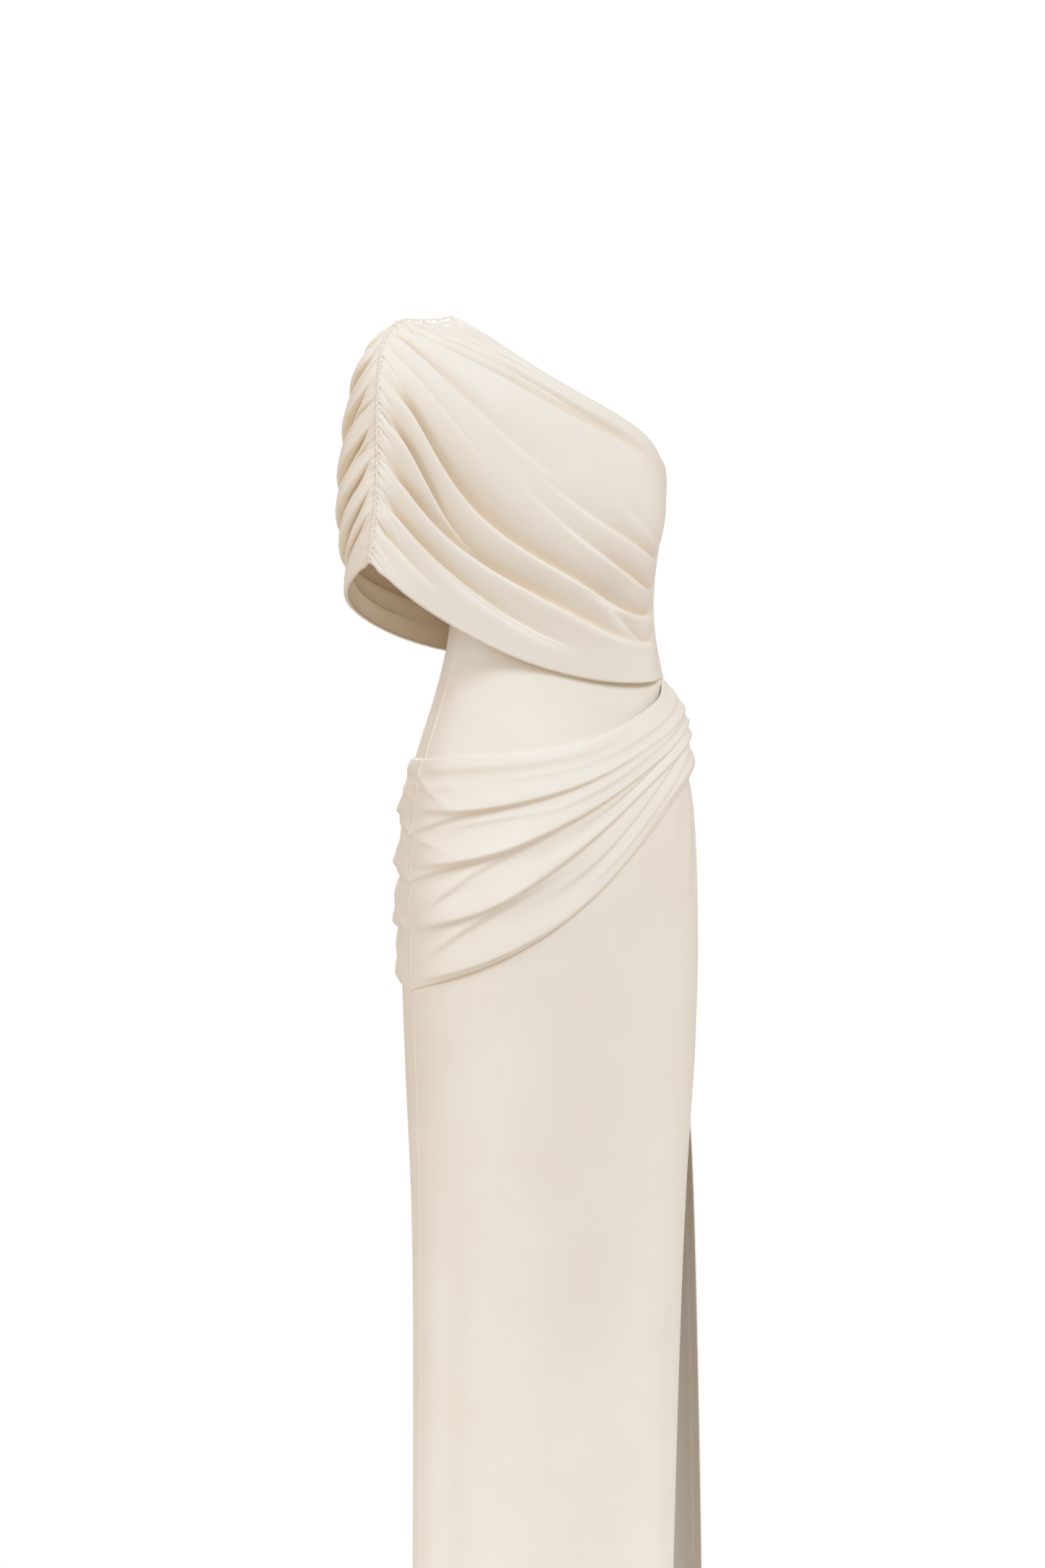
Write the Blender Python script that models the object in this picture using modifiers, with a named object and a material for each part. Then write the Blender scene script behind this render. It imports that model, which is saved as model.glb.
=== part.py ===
"""A one-shoulder evening dress in draped jersey, worn, with its hollow kept open.

The front of the dress faces -Y, the wearer's right is -X and +Z is up, all in metres. The pieces are
modelled round the upright axis of the torso, and a parent empty then moves them so that the point of
the shoulder that holds the dress up is the origin.
"""

import math
from collections import namedtuple

import bmesh
import bpy
import numpy as np

# Driving sizes
CLOTH = 0.0016  # the wall of every piece
SEAM_INSET = 0.0003  # each piece stops this far short of a plain side seam
RUCHED_INSET = 0.0010  # and this far short of the ruched seam, where the pieces meet at an angle
SHOULDER = (-0.147, 0.005, 0.0)  # what holds the dress up, from the torso's axis
GOWN_TOP = -0.165  # the sheath's upper edge, hidden under the overlay
HIP_LINE = -0.640
GOWN_HEM = -1.500
SLIT_TOP = -0.773  # the slit at the wearer's left starts here
SLIT_FRONT_IN = 0.032  # how far the slit's edges have swung at the hem
SLIT_BACK_OUT = 0.030
SLIT_EARLY = 0.2  # share of the slit's length in which the back edge makes half of its flare
OVER_GOWN = CLOTH + 0.0010  # from the middle of the sheath's wall to that of a piece lying on it
LOOSE_BACK = 0.0012  # the overlay's back lies this much looser
HIP_LIFT = CLOTH + 0.0008
OFF_GOWN_FROM = 0.120  # the overlay starts to be held off the sheath this far below the shoulder
OFF_GOWN_BELOW = 0.155  # and is held off it fully from here down
SOFT_TOUCH = 0.006  # how gradually it comes to lie on the sheath, as a share of the distance to the axis

# Grid of each piece
PANEL_COLUMNS = 14
BODICE_ROWS = 16
SKIRT_ROWS = 7
FRONT_COLUMNS = 19
BACK_COLUMNS = 13
HIP_FRONT_ROWS = 34
HIP_BACK_ROWS = 14
CLOSER_AT_SEAMS = 0.1  # how much closer together the overlay's columns are at both seams

# The sheath, from the chest down: height, half width, depth of the front, depth of the back
Section = namedtuple("Section", "height half_width front back")
SECTIONS = (
    Section(-0.100, 0.112, 0.080, 0.080),
    Section(-0.165, 0.124, 0.100, 0.090),
    Section(-0.200, 0.121, 0.099, 0.089),
    Section(-0.235, 0.116, 0.092, 0.087),
    Section(-0.310, 0.111, 0.085, 0.084),
    Section(-0.370, 0.122, 0.090, 0.091),
    Section(-0.415, 0.136, 0.097, 0.101),
    Section(-0.460, 0.151, 0.106, 0.110),
    Section(-0.550, 0.163, 0.114, 0.117),
    Section(-0.640, 0.166, 0.115, 0.117),
    Section(-0.730, 0.164, 0.113, 0.115),
    Section(-0.860, 0.159, 0.110, 0.111),
    Section(-1.070, 0.156, 0.108, 0.110),
    Section(-1.305, 0.157, 0.110, 0.112),
    Section(-1.500, 0.158, 0.112, 0.114),
)

# The overlay's form before its folds: a row for each line that runs from the ruched seam to the left
# side seam, first the neckline and last the hem, with the share of the ruched seam above it.
# The points of a row are at the same shares of its length.
ALONG = (0.0, 0.11, 0.24, 0.45, 0.68, 0.84, 1.0)
Line = namedtuple("Line", "down seam arm chest middle left flank side")
FRONT_LINES = (
    Line(0.00, (-0.106, 0.015, 0.006), (-0.094, -0.020, -0.014), (-0.079, -0.055, -0.038),
         (-0.016, -0.085, -0.079), (0.060, -0.088, -0.117), (0.100, -0.055, -0.143), (0.127, 0.000, -0.162)),
    Line(0.25, (-0.187, -0.003, -0.008), (-0.163, -0.035, -0.028), (-0.115, -0.070, -0.070),
         (-0.030, -0.105, -0.140), (0.055, -0.108, -0.185), (0.100, -0.065, -0.203), (0.125, 0.000, -0.212)),
    Line(0.45, (-0.221, -0.028, -0.063), (-0.193, -0.050, -0.088), (-0.149, -0.070, -0.130),
         (-0.060, -0.103, -0.205), (0.040, -0.111, -0.245), (0.089, -0.066, -0.252), (0.118, 0.000, -0.254)),
    Line(0.65, (-0.226, -0.034, -0.133), (-0.199, -0.051, -0.160), (-0.154, -0.066, -0.205),
         (-0.065, -0.095, -0.262), (0.033, -0.102, -0.295), (0.087, -0.062, -0.298), (0.113, 0.000, -0.296)),
    Line(0.83, (-0.229, -0.036, -0.196), (-0.200, -0.050, -0.225), (-0.156, -0.062, -0.264),
         (-0.070, -0.086, -0.314), (0.028, -0.098, -0.339), (0.087, -0.064, -0.338), (0.115, 0.000, -0.333)),
    Line(1.00, (-0.237, -0.036, -0.256), (-0.204, -0.049, -0.288), (-0.157, -0.058, -0.319),
         (-0.075, -0.081, -0.359), (0.022, -0.097, -0.379), (0.088, -0.070, -0.376), (0.121, 0.000, -0.366)),
)
BACK_LINES = (
    Line(0.00, (-0.106, 0.015, 0.006), (-0.098, 0.045, -0.005), (-0.085, 0.070, -0.030),
         (-0.020, 0.095, -0.085), (0.050, 0.095, -0.125), (0.100, 0.060, -0.148), (0.127, 0.000, -0.162)),
    Line(0.25, (-0.187, -0.003, -0.008), (-0.194, 0.020, -0.022), (-0.178, 0.055, -0.045),
         (-0.115, 0.095, -0.090), (-0.010, 0.112, -0.150), (0.080, 0.080, -0.190), (0.125, 0.000, -0.212)),
    Line(0.45, (-0.221, -0.028, -0.063), (-0.230, 0.008, -0.070), (-0.208, 0.053, -0.095),
         (-0.135, 0.100, -0.150), (-0.015, 0.115, -0.205), (0.075, 0.080, -0.238), (0.118, 0.000, -0.254)),
    Line(0.65, (-0.226, -0.034, -0.133), (-0.241, 0.010, -0.145), (-0.217, 0.056, -0.170),
         (-0.140, 0.098, -0.215), (-0.018, 0.108, -0.260), (0.070, 0.076, -0.285), (0.113, 0.000, -0.296)),
    Line(0.83, (-0.229, -0.036, -0.196), (-0.245, 0.008, -0.210), (-0.219, 0.052, -0.235),
         (-0.142, 0.092, -0.272), (-0.020, 0.102, -0.310), (0.070, 0.074, -0.328), (0.115, 0.000, -0.333)),
    Line(1.00, (-0.237, -0.036, -0.256), (-0.235, 0.018, -0.285), (-0.197, 0.060, -0.310),
         (-0.115, 0.086, -0.337), (-0.020, 0.098, -0.350), (0.070, 0.076, -0.361), (0.121, 0.000, -0.366)),
)
LENGTH_AT_SEAM = 0.355  # of the overlay down its ruched seam, and down its left side seam
LENGTH_AT_SIDE = 0.205

ROW_FALL = 0.12  # share of the way down that the rows of cloth fall from the ruched seam to the chest
ROW_FALL_ENDS = 0.3  # share of the way along at which they have fallen
PUCKERS = 40  # fine gathers along each side of the ruched seam
PUCKER_HEIGHT = 0.0022
PUCKER_REACH = 0.09  # how far they reach, as a share of the way along
PUCKER_UNEVEN = 0.25  # how much their height varies
PUCKER_SWAY = 17.0  # and how fast it varies down the seam, in radians for its length

FOLD_LIPS = 0.7  # how strongly the cloth rises beside a valley
FOLD_SHARPNESS = 0.6

# Folds of the overlay: where each valley meets the ruched seam, where it is a quarter of the way along
# and where it meets the side seam, as shares of the way down; where it starts, is deepest and ends, as
# shares of the way along; its depth and half width in metres
Fold = namedtuple("Fold", "at_seam at_quarter at_side start deepest end depth half_width")
FRONT_FOLDS = (
    Fold(0.43, 0.60, 0.73, 0.00, 0.14, 1.00, 0.016, 0.011),
    Fold(0.50, 0.69, 0.80, 0.00, 0.10, 0.32, 0.010, 0.008),
    Fold(0.67, 0.77, 0.86, 0.00, 0.14, 1.00, 0.014, 0.011),
    Fold(0.79, 0.83, 0.90, 0.00, 0.08, 0.34, 0.009, 0.009),
    Fold(0.88, 0.89, 0.95, 0.00, 0.06, 0.25, 0.006, 0.008),
    Fold(0.21, 0.22, 0.08, 0.02, 0.25, 0.98, 0.005, 0.008),
    Fold(0.28, 0.33, 0.38, 0.00, 0.10, 0.42, 0.005, 0.007),
    Fold(0.35, 0.42, 0.50, 0.00, 0.07, 0.22, 0.006, 0.007),
    Fold(0.24, 0.31, 0.52, 0.38, 0.85, 1.10, 0.005, 0.006),
    Fold(0.30, 0.37, 0.62, 0.42, 0.85, 1.10, 0.005, 0.006),
    Fold(0.60, 0.62, 0.76, 0.55, 0.92, 1.10, 0.004, 0.005),
    Fold(0.80, 0.80, 0.91, 0.60, 0.92, 1.10, 0.004, 0.005),
)
BACK_FOLDS = (
    Fold(0.14, 0.20, 0.12, 0.00, 0.12, 0.80, 0.005, 0.009),
    Fold(0.24, 0.33, 0.28, 0.00, 0.14, 0.90, 0.006, 0.009),
    Fold(0.34, 0.44, 0.40, 0.00, 0.12, 0.70, 0.006, 0.009),
    Fold(0.44, 0.55, 0.52, 0.00, 0.14, 0.90, 0.007, 0.009),
    Fold(0.54, 0.65, 0.62, 0.00, 0.12, 0.80, 0.006, 0.009),
    Fold(0.64, 0.74, 0.72, 0.00, 0.14, 0.90, 0.007, 0.009),
    Fold(0.74, 0.83, 0.82, 0.00, 0.12, 0.80, 0.006, 0.009),
    Fold(0.84, 0.91, 0.91, 0.00, 0.12, 0.70, 0.005, 0.009),
)

# Upper and lower edge of the hip drape, from the right side seam to the left one
Edge = namedtuple("Edge", "across top bottom")
HIP_EDGES = (
    Edge(0.00, -0.460, -0.695),
    Edge(0.20, -0.457, -0.677),
    Edge(0.36, -0.451, -0.645),
    Edge(0.48, -0.438, -0.600),
    Edge(0.59, -0.418, -0.548),
    Edge(0.70, -0.398, -0.505),
    Edge(0.85, -0.374, -0.474),
    Edge(1.00, -0.368, -0.467),
)
RIDGE_UNDERCUT = 2.2  # a ridge of the hip drape falls this much faster below its crest than above it
RIDGE_FADES_FROM = 0.2  # a ridge grows from this far before its start, as a share of the way across,
RIDGE_FULL_AT = 0.1  # to its full height this far after it

# Folds of the hip drape: how far down it each ridge is at the right side seam, at the middle and at the
# left side seam, as shares; where it starts; its height and half width in metres
HipFold = namedtuple("HipFold", "at_right at_middle at_left start height half_width")
HIP_FOLDS = (
    HipFold(0.23, 0.25, 0.24, 0.00, 0.006, 0.015),
    HipFold(0.45, 0.41, 0.38, 0.00, 0.007, 0.016),
    HipFold(0.71, 0.64, 0.54, 0.00, 0.007, 0.018),
    HipFold(0.97, 0.95, 0.92, 0.00, 0.005, 0.020),
    HipFold(0.03, 0.03, 0.05, 0.00, 0.003, 0.012),
    HipFold(0.32, 0.33, 0.31, 0.55, 0.003, 0.006),
    HipFold(0.52, 0.50, 0.46, 0.55, 0.004, 0.006),
    HipFold(0.80, 0.75, 0.66, 0.50, 0.004, 0.008),
    HipFold(0.88, 0.84, 0.78, 0.60, 0.003, 0.007),
    HipFold(0.14, 0.14, 0.14, 0.65, 0.003, 0.006),
)

CREAM = (0.88, 0.83, 0.74, 1.0)


def smooth_through(knots, values, at):
    """Values of the natural cubic curve through the given values, at other places along it."""
    knots = np.asarray(knots, float)
    values = np.asarray(values, float)
    step = np.diff(knots)
    count = len(knots)
    system = np.eye(count)
    right = np.zeros_like(values)
    for i in range(1, count - 1):
        system[i, i - 1 : i + 2] = step[i - 1], 2 * (step[i - 1] + step[i]), step[i]
        slope_after = (values[i + 1] - values[i]) / step[i]
        slope_before = (values[i] - values[i - 1]) / step[i - 1]
        right[i] = 6 * (slope_after - slope_before)
    bend = np.linalg.solve(system, right.reshape(count, -1)).reshape(values.shape)
    at = np.asarray(at, float)
    i = np.clip(np.searchsorted(knots, at) - 1, 0, count - 2)
    shape = at.shape + (1,) * (values.ndim - 1)
    h = step[i].reshape(shape)
    before = (knots[i + 1] - at).reshape(shape)
    after = (at - knots[i]).reshape(shape)
    return (
        (bend[i] * before**3 + bend[i + 1] * after**3) / (6 * h)
        + (values[i] / h - bend[i] * h / 6) * before
        + (values[i + 1] / h - bend[i + 1] * h / 6) * after
    )


def ease(x, start, end):
    """0 before start, 1 after end and smooth between them."""
    t = np.clip((x - start) / (end - start), 0.0, 1.0)
    return t * t * (3 - 2 * t)


def gown_size(height):
    """Half width, front depth and back depth of the sheath at a height."""
    table = np.array(SECTIONS)[::-1]
    return np.moveaxis(smooth_through(table[:, 0], table[:, 1:], height), -1, 0)


def slit_swing(height, facing):
    """How far out the slit's edge has swung: the front one falls in evenly, the back one flares early."""
    below = np.clip((height - SLIT_TOP) / (GOWN_HEM - SLIT_TOP), 0.0, 1.0)
    if facing < 0:
        return -SLIT_FRONT_IN * below
    return SLIT_BACK_OUT * (1 + SLIT_EARLY) * below / (below + SLIT_EARLY)


def gown_points(across, height, facing, out=0.0):
    """Points of the sheath's front (facing -1) or back (+1), moved out.

    Across is 0 at the right side seam and 1 at the left one.
    """
    half_width, front, back = gown_size(height)
    depth = front if facing < 0 else back
    half_width = half_width + np.where(across > 0.5, slit_swing(height, facing), 0.0)
    angle = math.pi * across
    angle = np.clip(angle, SEAM_INSET / depth, math.pi - SEAM_INSET / depth)
    x = -half_width * np.cos(angle)
    y = facing * depth * np.sin(angle)
    normal = np.stack([x / half_width**2, y / depth**2], axis=-1)
    normal /= np.linalg.norm(normal, axis=-1, keepdims=True)
    return np.stack([x + out * normal[..., 0], y + out * normal[..., 1], height], axis=-1)


def clear_of_gown(points, lift):
    """The points, those too near the sheath moved out from its axis to lie that far over it."""
    half_width, front, back = gown_size(np.clip(points[..., 2], GOWN_HEM, SECTIONS[0].height))
    depth = np.where(points[..., 1] < 0, front, back)
    share = np.hypot(points[..., 0] / (half_width + lift), points[..., 1] / (depth + lift))
    outer = 0.5 * (share + 1 + np.sqrt((share - 1) ** 2 + SOFT_TOUCH**2))
    beside_gown = ease(-points[..., 2], OFF_GOWN_FROM, OFF_GOWN_BELOW)
    moved = points.copy()
    moved[..., :2] *= (1 + beside_gown * (outer / share - 1))[..., None]
    return moved


def overlay_form(lines, stations, down):
    """The overlay's smooth form, without its folds: a column of points for each station along it."""
    lengthwise = np.stack([smooth_through(ALONG, line[1:], stations) for line in lines])
    heights = [line.down for line in lines]
    columns = [smooth_through(heights, lengthwise[:, i], down[:, i]) for i in range(len(stations))]
    return np.stack(columns, axis=1)


def outward(points, facing):
    """Unit normals of a grid of points."""
    down, along = np.gradient(points, axis=(0, 1))
    normal = np.cross(along, down) * facing
    return normal / np.linalg.norm(normal, axis=-1, keepdims=True)


def fold_depth(folds, along, down):
    """How far the folds push the overlay in, with the lips that cloth raises beside a valley."""
    depth = np.zeros_like(along)
    length = LENGTH_AT_SEAM + (LENGTH_AT_SIDE - LENGTH_AT_SEAM) * along
    for fold in folds:
        centre = smooth_through((0, 0.25, 1), (fold.at_seam, fold.at_quarter, fold.at_side), along)
        off = (down - centre) * length / fold.half_width
        swell = ease(along, fold.start, fold.deepest) * (1 - ease(along, fold.deepest, fold.end))
        depth += fold.depth * swell * (1 - FOLD_LIPS * off**2) * np.exp(-FOLD_SHARPNESS * off**2)
    return depth


def puckers(row, along):
    """Height of the fine gathers beside the ruched seam."""
    wave = 0.5 - 0.5 * np.cos(2 * math.pi * PUCKERS * row)
    uneven = 1 - PUCKER_UNEVEN + PUCKER_UNEVEN * np.sin(PUCKER_SWAY * row)
    return PUCKER_HEIGHT * wave * uneven * (1 - ease(along, 0.0, PUCKER_REACH))


def grid_object(name, points, collection):
    """A cloth wall on a grid of points."""
    rows, columns = points.shape[:2]
    bm = bmesh.new()
    bmesh.ops.create_grid(bm, x_segments=columns - 1, y_segments=rows - 1, size=0.5)
    for vert in bm.verts:
        column = round((vert.co.x + 0.5) * (columns - 1))
        row = round((vert.co.y + 0.5) * (rows - 1))
        vert.co = points[row, column]
    mesh = bpy.data.meshes.new(name)
    bm.to_mesh(mesh)
    bm.free()
    mesh.shade_smooth()
    mesh.materials.append(jersey())
    piece = bpy.data.objects.new(name, mesh)
    collection.objects.link(piece)
    wall = piece.modifiers.new("wall", "SOLIDIFY")
    wall.thickness = CLOTH
    wall.offset = 0.0
    return piece


def jersey():
    """Cream jersey with a soft sheen."""
    material = bpy.data.materials.new("jersey")
    material.use_nodes = True
    shader = material.node_tree.nodes["Principled BSDF"]
    shader.inputs["Base Color"].default_value = CREAM
    shader.inputs["Roughness"].default_value = 0.6
    shader.inputs["Metallic"].default_value = 0.0
    return material


def overlay(name, lines, folds, columns, facing, lift, collection):
    """One half of the overlay, from the ruched seam to the left side seam.

    The stations are closer together at both seams, and the rows fall away from the ruched seam as the
    folds do.
    """
    even = np.linspace(0, 1, columns + 1)
    stations = even - CLOSER_AT_SEAMS * np.sin(2 * math.pi * even)
    row, along = np.meshgrid(np.linspace(0, 1, 2 * PUCKERS + 1), stations, indexing="ij")
    down = row + ROW_FALL * np.sin(math.pi * row) * ease(along, 0.0, ROW_FALL_ENDS)
    form = overlay_form(lines, stations, down)
    height = puckers(row, along) - fold_depth(folds, along, down)
    points = form + outward(form, facing) * height[..., None]
    points = clear_of_seams(clear_of_gown(points, lift), facing)
    return grid_object(name, points, collection)


def clear_of_seams(points, facing):
    """The grid with its first and last columns drawn back from the seams."""
    first = points[:, 1] - points[:, 0]
    points[:, 0] += RUCHED_INSET * first / np.linalg.norm(first, axis=-1, keepdims=True)
    points[:, -1, 1] = facing * SEAM_INSET
    return points


def gown_panel(name, facing, collection):
    """Front or back of the sheath, from the underarm to the hem."""
    heights = np.concatenate(
        [np.linspace(GOWN_TOP, HIP_LINE, BODICE_ROWS + 1), np.linspace(HIP_LINE, GOWN_HEM, SKIRT_ROWS + 1)[1:]]
    )
    height, across = np.meshgrid(heights, np.linspace(0, 1, PANEL_COLUMNS + 1), indexing="ij")
    return grid_object(name, gown_points(across, height, facing), collection)


def hip_drape(name, rows, facing, collection):
    """Front or back of the draped hip panel, on the sheath's own points."""
    share, across = np.meshgrid(np.linspace(0, 1, rows + 1), np.linspace(0, 1, PANEL_COLUMNS + 1), indexing="ij")
    edges = np.array(HIP_EDGES)
    top, bottom = np.moveaxis(smooth_through(edges[:, 0], edges[:, 1:], across), -1, 0)
    height = top + (bottom - top) * share
    raised = np.zeros_like(across)
    for fold in HIP_FOLDS:
        centre = smooth_through((0, 0.5, 1), (fold.at_right, fold.at_middle, fold.at_left), across)
        off = (share - centre) * (top - bottom) / fold.half_width
        off = np.where(off > 0, RIDGE_UNDERCUT * off, off)
        grown = ease(across, fold.start - RIDGE_FADES_FROM, fold.start + RIDGE_FULL_AT)
        raised += fold.height * grown * np.exp(-off**2)
    return grid_object(name, gown_points(across, height, facing, HIP_LIFT + raised), collection)


def main():
    for old in list(bpy.data.objects):
        bpy.data.objects.remove(old)
    collection = bpy.data.collections.new("one_shoulder_dress")
    bpy.context.scene.collection.children.link(collection)
    axis = bpy.data.objects.new("torso_axis", None)
    axis.location = [-value for value in SHOULDER]
    collection.objects.link(axis)
    pieces = [
        overlay("drape_front", FRONT_LINES, FRONT_FOLDS, FRONT_COLUMNS, -1, OVER_GOWN, collection),
        overlay("drape_back", BACK_LINES, BACK_FOLDS, BACK_COLUMNS, 1, OVER_GOWN + LOOSE_BACK, collection),
        gown_panel("gown_front", -1, collection),
        gown_panel("gown_back", 1, collection),
        hip_drape("hip_drape_front", HIP_FRONT_ROWS, -1, collection),
        hip_drape("hip_drape_back", HIP_BACK_ROWS, 1, collection),
    ]
    for piece in pieces:
        piece.parent = axis


main()
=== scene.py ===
# %% [markdown]
# # A one-shoulder dress in cream draped jersey
#
# The dress has three layers of jersey. A long sheath covers the body from the underarm to the floor,
# an overlay hangs from one shoulder across the chest and the back, and a draped panel crosses the hips.
# A CAD model already holds them as plain walls with the right sizes. Here each wall is dressed with a
# thin shell of cloth on the same form, with its finer folds, gathers, rolled edges and seams.
#
# The first step loads the CAD model as a fixed frame. Cloth may stand proud of that box by little more
# than a centimetre.

# %% Load the frame
import math
from collections import namedtuple

import bmesh
import bpy
import numpy as np
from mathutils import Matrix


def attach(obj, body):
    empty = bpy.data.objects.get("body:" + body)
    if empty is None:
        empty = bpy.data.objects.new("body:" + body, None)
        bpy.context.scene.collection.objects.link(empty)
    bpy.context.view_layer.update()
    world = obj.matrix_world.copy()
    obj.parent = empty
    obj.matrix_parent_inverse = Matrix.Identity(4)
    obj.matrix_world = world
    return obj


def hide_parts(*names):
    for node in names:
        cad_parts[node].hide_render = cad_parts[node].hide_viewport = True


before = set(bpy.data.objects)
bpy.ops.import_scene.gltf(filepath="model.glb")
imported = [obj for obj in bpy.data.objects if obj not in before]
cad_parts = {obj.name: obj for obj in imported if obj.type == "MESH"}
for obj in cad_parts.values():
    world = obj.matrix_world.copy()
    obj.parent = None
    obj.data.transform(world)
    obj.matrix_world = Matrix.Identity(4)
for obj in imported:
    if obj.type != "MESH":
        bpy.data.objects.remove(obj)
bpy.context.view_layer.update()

# %% [markdown]
# ## Sizes that every piece shares
#
# The pieces are worked out round the upright axis of the torso, with the front facing -Y and the
# wearer's right at -X. The model's origin is the shoulder that carries the dress, so each piece is
# moved there at the end. Heights are metres below that shoulder.

# %% Shared sizes
SHOULDER = np.array([-0.147, 0.005, 0.0])  # from the torso's axis
CLOTH = 0.0016  # the CAD walls
SHELL = 0.0011  # the cloth shells
OVER_GOWN = CLOTH + 0.0010  # from the sheath's middle to that of a piece lying on it
LOOSE_BACK = 0.0012  # the overlay's back lies this much looser
HIP_LIFT = CLOTH + 0.0008
GOWN_TOP = -0.165
GOWN_HEM = -1.500
SLIT_TOP = -0.773  # the slit at the wearer's left starts here
SLIT_FRONT_IN = 0.032  # how far its edges have swung at the hem
SLIT_BACK_OUT = 0.030
SLIT_EARLY = 0.2  # share of its length in which the back edge makes half of its flare

# %% [markdown]
# ## Smooth tables
#
# A pattern cutter describes a body with a few measured lines and lets the curve do the rest. The same
# works in code: a short table holds the measured lines, and a natural cubic curve runs through them.
# `ease` is the other helper. It blends a fold in and out without a visible start.

# %% Curves through a table
def smooth_through(knots, values, at):
    """Values of the natural cubic curve through the given values, at other places along it."""
    knots = np.asarray(knots, float)
    values = np.asarray(values, float)
    step = np.diff(knots)
    count = len(knots)
    system = np.eye(count)
    right = np.zeros_like(values)
    for i in range(1, count - 1):
        system[i, i - 1 : i + 2] = step[i - 1], 2 * (step[i - 1] + step[i]), step[i]
        slope_after = (values[i + 1] - values[i]) / step[i]
        slope_before = (values[i] - values[i - 1]) / step[i - 1]
        right[i] = 6 * (slope_after - slope_before)
    bend = np.linalg.solve(system, right.reshape(count, -1)).reshape(values.shape)
    at = np.asarray(at, float)
    i = np.clip(np.searchsorted(knots, at) - 1, 0, count - 2)
    shape = at.shape + (1,) * (values.ndim - 1)
    h = step[i].reshape(shape)
    before = (knots[i + 1] - at).reshape(shape)
    after = (at - knots[i]).reshape(shape)
    return (
        (bend[i] * before**3 + bend[i + 1] * after**3) / (6 * h)
        + (values[i] / h - bend[i] * h / 6) * before
        + (values[i + 1] / h - bend[i + 1] * h / 6) * after
    )


def ease(x, start, end):
    """0 before start, 1 after end and smooth between them."""
    t = np.clip((x - start) / (end - start), 0.0, 1.0)
    return t * t * (3 - 2 * t)


# %% [markdown]
# ## The cloth
#
# The real cloth is a matte-satin jersey: fine polyester or viscose yarn knitted on a circular machine,
# then pressed. The knit is too fine to see from a step away. What the eye gets is a soft, even surface
# with a faint bloom at grazing angles, from the loops of yarn that stand up, and warm shade in the
# folds, because cream cloth lights itself there with its own colour.
#
# Blender's Principled shader covers that: a high roughness for the matte ground, a little sheen for the
# bloom, and a fine bump for the knit. Real wales are 0.5 mm apart, too fine to show in the render, so
# they are drawn 1.6 mm apart. They follow a UV map that is laid out in metres of cloth, which keeps
# them the same size on every piece and lets them run along the folds as real wales do.

# %% Colour and node helpers
def linear(hex_colour):
    """An sRGB hex colour as the linear values that Blender's sockets take."""
    channels = [int(hex_colour[i : i + 2], 16) / 255 for i in (1, 3, 5)]
    return [c / 12.92 if c <= 0.04045 else ((c + 0.055) / 1.055) ** 2.4 for c in channels] + [1.0]


def add_node(tree, kind, settings=(), links=()):
    """A node with its settings, and its inputs linked from other nodes' outputs."""
    node = tree.nodes.new(kind)
    for name, value in dict(settings).items():
        if name in node.inputs:
            node.inputs[name].default_value = value
        else:
            setattr(node, name, value)
    for name, output in dict(links).items():
        tree.links.new(output, node.inputs[name])
    return node


# %% Matte-satin jersey
CREAM = "#F8EBD5"
CREAM_DEEP = "#F6E7CF"  # dye takes a touch deeper here and there
WALE = 0.0016  # metres between the drawn wales of the knit
BAND_FACTOR = 20  # Blender's band texture multiplies its coordinate by this
DYE_PATCHES = 9.0  # cloudy patches of dye to a metre
GRAIN = 420.0  # bumps of grain to a metre, so that one is 2.4 mm


def knitted_jersey():
    """Matte-satin jersey, knitted and pressed."""
    material = bpy.data.materials.new("matte_satin_jersey")
    material.use_nodes = True
    tree = material.node_tree
    shader = tree.nodes["Principled BSDF"]
    cloth = add_node(tree, "ShaderNodeUVMap", {"uv_map": "cloth"})
    on_cloth = {"Vector": cloth.outputs["UV"]}
    dye = add_node(tree, "ShaderNodeTexNoise", {"Scale": DYE_PATCHES, "Detail": 3.0}, on_cloth)
    colour = add_node(tree, "ShaderNodeValToRGB", links={"Fac": dye.outputs["Fac"]})
    colour.color_ramp.elements[0].color = linear(CREAM_DEEP)
    colour.color_ramp.elements[0].position = 0.3
    colour.color_ramp.elements[1].color = linear(CREAM)
    colour.color_ramp.elements[1].position = 0.6
    wale_scale = 1 / (BAND_FACTOR * WALE) * 2 * math.pi
    bands = {"wave_type": "BANDS", "bands_direction": "X", "Scale": wale_scale, "Distortion": 0.6}
    wales = add_node(tree, "ShaderNodeTexWave", bands, on_cloth)
    grain = add_node(tree, "ShaderNodeTexNoise", {"Scale": GRAIN, "Detail": 2.0}, on_cloth)
    knit = add_node(
        tree,
        "ShaderNodeMath",
        {"operation": "MULTIPLY"},
        {0: wales.outputs["Fac"], 1: grain.outputs["Fac"]},
    )
    bump = add_node(
        tree, "ShaderNodeBump", {"Strength": 0.10, "Distance": 0.0004}, {"Height": knit.outputs["Value"]}
    )
    pressed = add_node(
        tree, "ShaderNodeMapRange", {"To Min": 0.50, "To Max": 0.60}, {"Value": grain.outputs["Fac"]}
    )
    tree.links.new(colour.outputs["Color"], shader.inputs["Base Color"])
    tree.links.new(pressed.outputs["Result"], shader.inputs["Roughness"])
    tree.links.new(bump.outputs["Normal"], shader.inputs["Normal"])
    shader.inputs["IOR"].default_value = 1.48
    shader.inputs["Specular IOR Level"].default_value = 0.22
    shader.inputs["Sheen Weight"].default_value = 0.22
    shader.inputs["Sheen Roughness"].default_value = 0.45
    shader.inputs["Sheen Tint"].default_value = linear("#FFF8EE")
    return material


JERSEY = knitted_jersey()
print("material:", JERSEY.name)

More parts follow.
